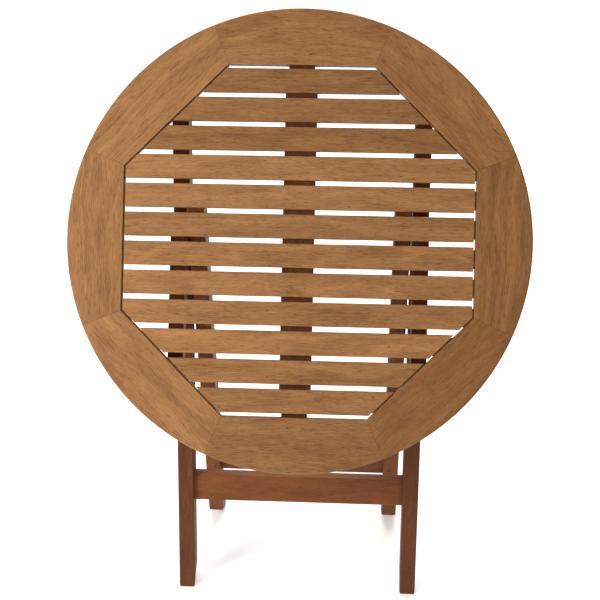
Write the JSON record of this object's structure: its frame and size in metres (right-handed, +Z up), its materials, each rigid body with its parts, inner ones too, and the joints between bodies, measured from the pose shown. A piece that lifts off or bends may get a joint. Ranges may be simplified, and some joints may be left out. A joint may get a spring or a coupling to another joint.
{
  "type": "folding garden table",
  "caption": "Round slatted wooden garden table with crossed folding legs and swinging stays, shown half folded with its top tilted.",
  "frame": {"origin": "on the floor, under the middle of the table as it stands half folded", "axes": "+Z up, +X to the table's right as seen from its raised top's face, +Y towards the back"},
  "size_m": [0.7, 0.4032, 0.9553],
  "materials": {
    "rim_wood": "oiled, satin",
    "slat_wood": "oiled, satin",
    "frame_wood": "oiled, satin",
    "steel": "satin, zinc plated"
  },
  "bodies": {
    "outer_frame": {"outer_leg_left": "frame_wood", "outer_leg_right": "frame_wood", "outer_stretcher": "frame_wood", "leg_pivot_bolt_left": "steel", "leg_pivot_bolt_right": "steel", "leg_washers": "steel"},
    "top": {"rim_right": "rim_wood", "rim_far_right": "rim_wood", "rim_far": "rim_wood", "rim_far_left": "rim_wood", "rim_left": "rim_wood", "rim_near_left": "rim_wood", "rim_near": "rim_wood", "rim_near_right": "rim_wood", "slat_01": "slat_wood", "slat_02": "slat_wood", "slat_03": "slat_wood", "slat_04": "slat_wood", "slat_05": "slat_wood", "slat_06": "slat_wood", "slat_07": "slat_wood", "slat_08": "slat_wood", "slat_09": "slat_wood", "slat_10": "slat_wood", "slat_11": "slat_wood", "slat_12": "slat_wood", "middle_batten": "frame_wood", "batten_screws": "steel", "pivot_block_left": "frame_wood", "pivot_block_right": "frame_wood", "stay_block_left": "frame_wood", "stay_block_right": "frame_wood", "block_screws": "steel", "top_pivot_bolt_left": "steel", "top_pivot_bolt_right": "steel", "stay_pivot_bolt_left": "steel", "stay_pivot_bolt_right": "steel", "top_washers": "steel"},
    "inner_frame": {"inner_leg_left": "frame_wood", "inner_leg_right": "frame_wood", "inner_stretcher": "frame_wood", "tenon_pins": "frame_wood", "stay_stud_left": "steel", "stay_stud_right": "steel"},
    "stay_left": {"stay_left": "frame_wood", "stay_head_bolt_left": "steel"},
    "stay_right": {"stay_right": "frame_wood", "stay_head_bolt_right": "steel"}
  },
  "joints": [
    {"name": "top_swing", "type": "hinge", "parent": "outer_frame", "child": "top", "pos_m": [0, 0.09458, 0.8301], "axis": [-1, 0, 0], "range_deg": [0, 37.8]},
    {"name": "leg_cross", "type": "hinge", "parent": "outer_frame", "child": "inner_frame", "pos_m": [0, 0.04723, 0.51787], "axis": [1, 0, 0], "range_deg": [0, 49.8]},
    {"name": "stay_left_swing", "type": "hinge", "parent": "top", "child": "stay_left", "pos_m": [-0.1865, -0.0911, 0.419], "axis": [-1, 0, 0], "range_deg": [0, 37.2]},
    {"name": "stay_right_swing", "type": "hinge", "parent": "top", "child": "stay_right", "pos_m": [0.1865, -0.0911, 0.419], "axis": [-1, 0, 0], "range_deg": [0, 37.2]}
  ],
  "couplings": [
    {"joint": "leg_cross", "follows": "top_swing", "ratio": 1.3174},
    {"joint": "stay_left_swing", "follows": "top_swing", "ratio": 0.9841},
    {"joint": "stay_right_swing", "follows": "top_swing", "ratio": 0.9841}
  ]
}
